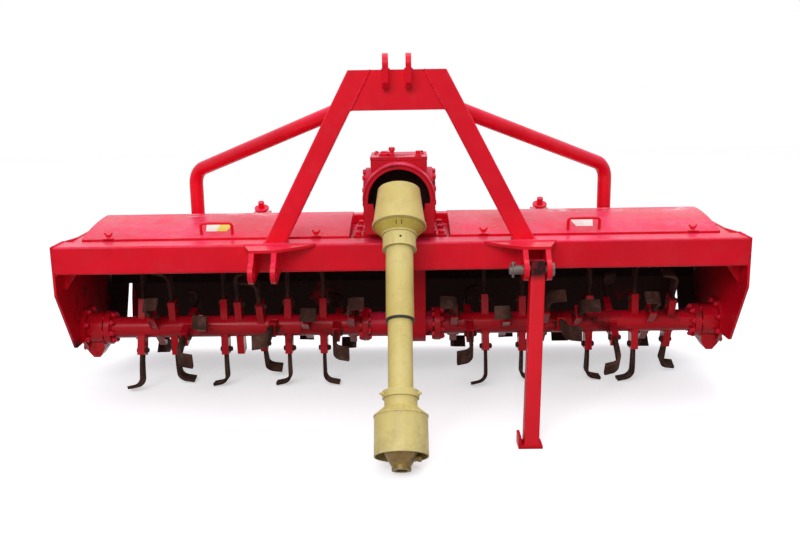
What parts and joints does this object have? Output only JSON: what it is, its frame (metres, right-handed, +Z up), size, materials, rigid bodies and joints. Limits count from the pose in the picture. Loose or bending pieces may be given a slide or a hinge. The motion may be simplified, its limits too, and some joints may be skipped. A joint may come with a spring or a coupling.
{
  "type": "tractor-mounted rotavator",
  "caption": "Tractor-mounted rotavator: bladed rotor under a deck with lift-up covers, A-frame mast, gearbox, guarded drive shaft, trailing board and parking stand.",
  "frame": {"origin": "centre of the machine's footprint, on the ground it parks on", "axes": "+X along the rotor, to the right of someone who faces the tractor side; +Y away from the tractor, towards the trailing board; +Z up"},
  "size_m": [2.18, 1.2157, 1.122],
  "materials": {
    "red_paint": "glossy red paint, dusty and chipped along the edges",
    "tine_steel": "dull steel with brown rust",
    "bare_steel": "oily bare steel with light rust",
    "yoke_steel": "yellow-passivated forged steel, dulled",
    "spring_steel": "dark spring steel",
    "guard_plastic": "sun-faded dull yellow plastic"
  },
  "bodies": {
    "frame": {"front_beam": "red_paint", "left_end_plate": "red_paint", "right_end_plate": "red_paint", "rotor_deck": "red_paint", "rear_bar": "red_paint", "left_mast_leg": "red_paint", "right_mast_leg": "red_paint", "mast_cross_beam": "red_paint", "left_top_link_lug": "red_paint", "right_top_link_lug": "red_paint", "left_hitch_bracket": "red_paint", "right_hitch_bracket": "red_paint", "right_hitch_pin": "bare_steel", "left_rear_stay": "red_paint", "right_rear_stay": "red_paint", "gearbox_base": "red_paint", "gearbox_housing": "red_paint", "gearbox_lid": "red_paint", "left_gearbox_cover": "red_paint", "right_gearbox_cover": "red_paint", "shaft_shield": "red_paint", "gear_case": "red_paint", "left_bearing_housing": "red_paint", "right_bearing_housing": "red_paint", "board_hinge_rod": "red_paint", "left_rod_bracket": "red_paint", "right_rod_bracket": "red_paint", "left_cover_hinges": "red_paint", "right_cover_hinges": "red_paint", "input_shaft": "bare_steel", "input_yoke": "bare_steel"},
    "rotor": {"rotor_centre_shaft": "bare_steel", "left_rotor_shaft": "red_paint", "right_rotor_shaft": "red_paint", "left_tines": "tine_steel", "right_tines": "tine_steel"},
    "left_top_cover": {"left_cover": "red_paint", "left_cover_handle": "red_paint"},
    "right_top_cover": {"right_cover": "red_paint", "right_cover_handle": "red_paint"},
    "rear_board": {"trailing_board": "red_paint"},
    "lift_rods": {"left_lift_rod": "bare_steel", "right_lift_rod": "bare_steel", "left_lift_spring": "spring_steel", "right_lift_spring": "spring_steel"},
    "upper_drive": {"upper_joint_cross": "bare_steel", "upper_shaft": "bare_steel", "upper_guard": "guard_plastic"},
    "lower_drive": {"lower_guard": "guard_plastic", "lower_shaft": "bare_steel", "lower_joint_cross": "bare_steel", "tractor_yoke": "yoke_steel"},
    "stand": {"stand_leg": "red_paint", "stand_foot": "red_paint"}
  },
  "joints": [
    {"name": "rotor_spin", "type": "hinge", "parent": "frame", "child": "rotor", "pos_m": [0, 0.1807, 0.216], "axis": [1, 0, 0], "continuous": true},
    {"name": "left_cover_lift", "type": "hinge", "parent": "frame", "child": "left_top_cover", "pos_m": [-0.585, 0.3332, 0.553], "axis": [-1, 0, 0], "range_deg": [0, 35]},
    {"name": "right_cover_lift", "type": "hinge", "parent": "frame", "child": "right_top_cover", "pos_m": [0.585, 0.3332, 0.553], "axis": [-1, 0, 0], "range_deg": [0, 35]},
    {"name": "board_lift", "type": "hinge", "parent": "frame", "child": "rear_board", "pos_m": [0, 0.4697, 0.338], "axis": [1, 0, 0], "range_deg": [0, 30]},
    {"name": "rod_pivot", "type": "hinge", "parent": "rear_board", "child": "lift_rods", "pos_m": [0, 0.58942, 0.17237], "axis": [1, 0, 0], "range_deg": [-16.1, 0]},
    {"name": "shaft_swing", "type": "hinge", "parent": "frame", "child": "upper_drive", "pos_m": [0, -0.0953, 0.668], "axis": [-1, 0, 0], "range_deg": [0, 54]},
    {"name": "shaft_telescope", "type": "slide", "parent": "upper_drive", "child": "lower_drive", "axis": [0, -0.5878, -0.809], "range_m": [-0.165, 0.05]},
    {"name": "stand_swing", "type": "hinge", "parent": "frame", "child": "stand", "pos_m": [0.4125, -0.1803, 0.481], "axis": [1, 0, 0], "range_deg": [0, 36]}
  ],
  "couplings": [
    {"joint": "rod_pivot", "follows": "board_lift", "ratio": -0.5324}
  ]
}
